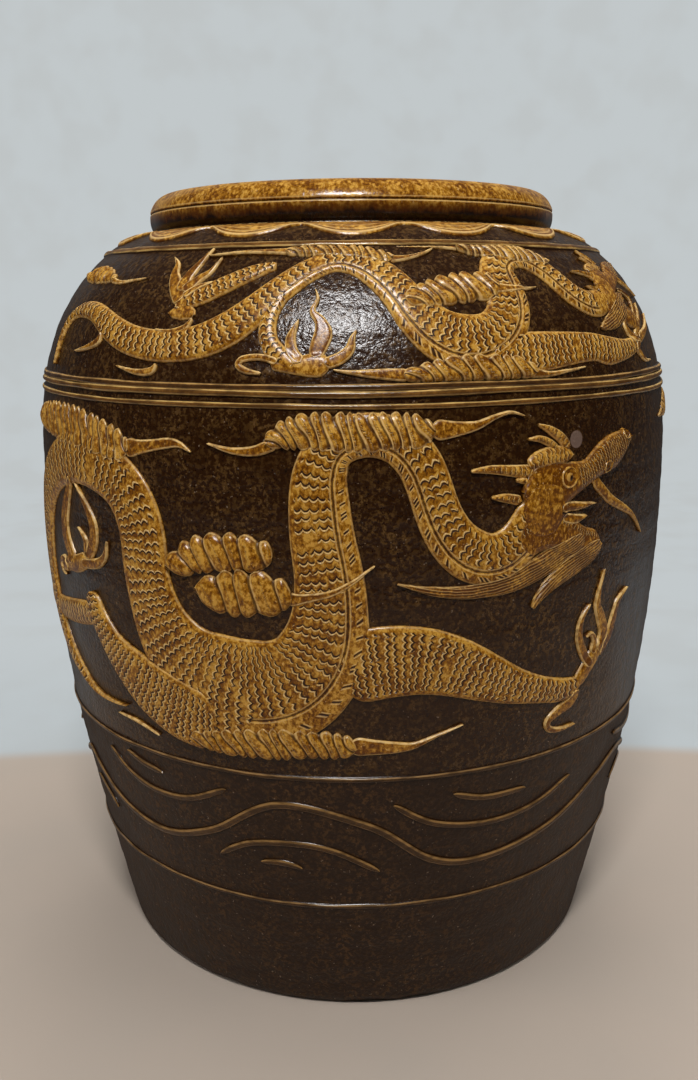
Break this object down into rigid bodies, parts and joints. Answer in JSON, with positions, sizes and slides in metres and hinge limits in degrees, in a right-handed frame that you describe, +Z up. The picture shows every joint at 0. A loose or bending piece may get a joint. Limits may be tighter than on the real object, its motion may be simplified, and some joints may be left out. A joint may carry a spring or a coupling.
{
  "type": "storage jar",
  "caption": "Large broad-shouldered glazed stoneware storage jar with a rolled mouth rim, raised cordons and two registers of dragon and cloud relief over a wave band.",
  "frame": {"origin": "centre of the foot's standing plane", "axes": "+Z up along the jar's axis; -Y faces the viewer of the picture, +X to the viewer's right"},
  "size_m": [0.596, 0.6018, 0.684],
  "materials": {
    "dark_glaze": "glossy",
    "low_glaze": "satin",
    "rim_glaze": "glossy",
    "cloud_glaze": "glossy",
    "amber_glaze": "glossy"
  },
  "bodies": {
    "root": {"base_slab": "low_glaze", "lower_wall": "low_glaze", "belly_wall": "dark_glaze", "shoulder_wall": "dark_glaze", "mouth_rim": "rim_glaze", "collar_cordon": "rim_glaze", "band_high_cordon": "rim_glaze", "band_low_cordon": "rim_glaze", "wave_high_cordon": "low_glaze", "wave_low_cordon": "low_glaze", "lappet_collar": "rim_glaze", "wave_swell": "low_glaze", "wave_ripple": "low_glaze", "main_body_a": "amber_glaze", "main_foreleg_a": "amber_glaze", "main_hindleg_a": "amber_glaze", "main_head_a": "amber_glaze", "main_horns_a": "amber_glaze", "main_beard_a": "amber_glaze", "main_fore_claws_a": "amber_glaze", "main_hind_claws_a": "amber_glaze", "main_body_b": "amber_glaze", "main_foreleg_b": "amber_glaze", "main_hindleg_b": "amber_glaze", "main_head_b": "amber_glaze", "main_horns_b": "amber_glaze", "main_beard_b": "amber_glaze", "main_fore_claws_b": "amber_glaze", "main_hind_claws_b": "amber_glaze", "cloud_crest_a": "cloud_glaze", "cloud_arch_a": "cloud_glaze", "cloud_side_a": "cloud_glaze", "cloud_foot_a": "cloud_glaze", "cloud_far_a": "cloud_glaze", "cloud_crest_b": "cloud_glaze", "cloud_arch_b": "cloud_glaze", "cloud_side_b": "cloud_glaze", "cloud_foot_b": "cloud_glaze", "cloud_far_b": "cloud_glaze", "sho_body_a": "amber_glaze", "sho_foreleg_a": "amber_glaze", "sho_hindlegs_a": "amber_glaze", "sho_head_a": "amber_glaze", "sho_hind_claws_a": "amber_glaze", "sho_fore_claws_a": "amber_glaze", "sho_body_b": "amber_glaze", "sho_foreleg_b": "amber_glaze", "sho_hindlegs_b": "amber_glaze", "sho_head_b": "amber_glaze", "sho_hind_claws_b": "amber_glaze", "sho_fore_claws_b": "amber_glaze", "sho_cloud_crest_a": "cloud_glaze", "sho_cloud_belly_a": "cloud_glaze", "sho_cloud_foot_a": "cloud_glaze", "sho_cloud_small_a": "cloud_glaze", "sho_cloud_crest_b": "cloud_glaze", "sho_cloud_belly_b": "cloud_glaze", "sho_cloud_foot_b": "cloud_glaze", "sho_cloud_small_b": "cloud_glaze"}
  },
  "joints": []
}
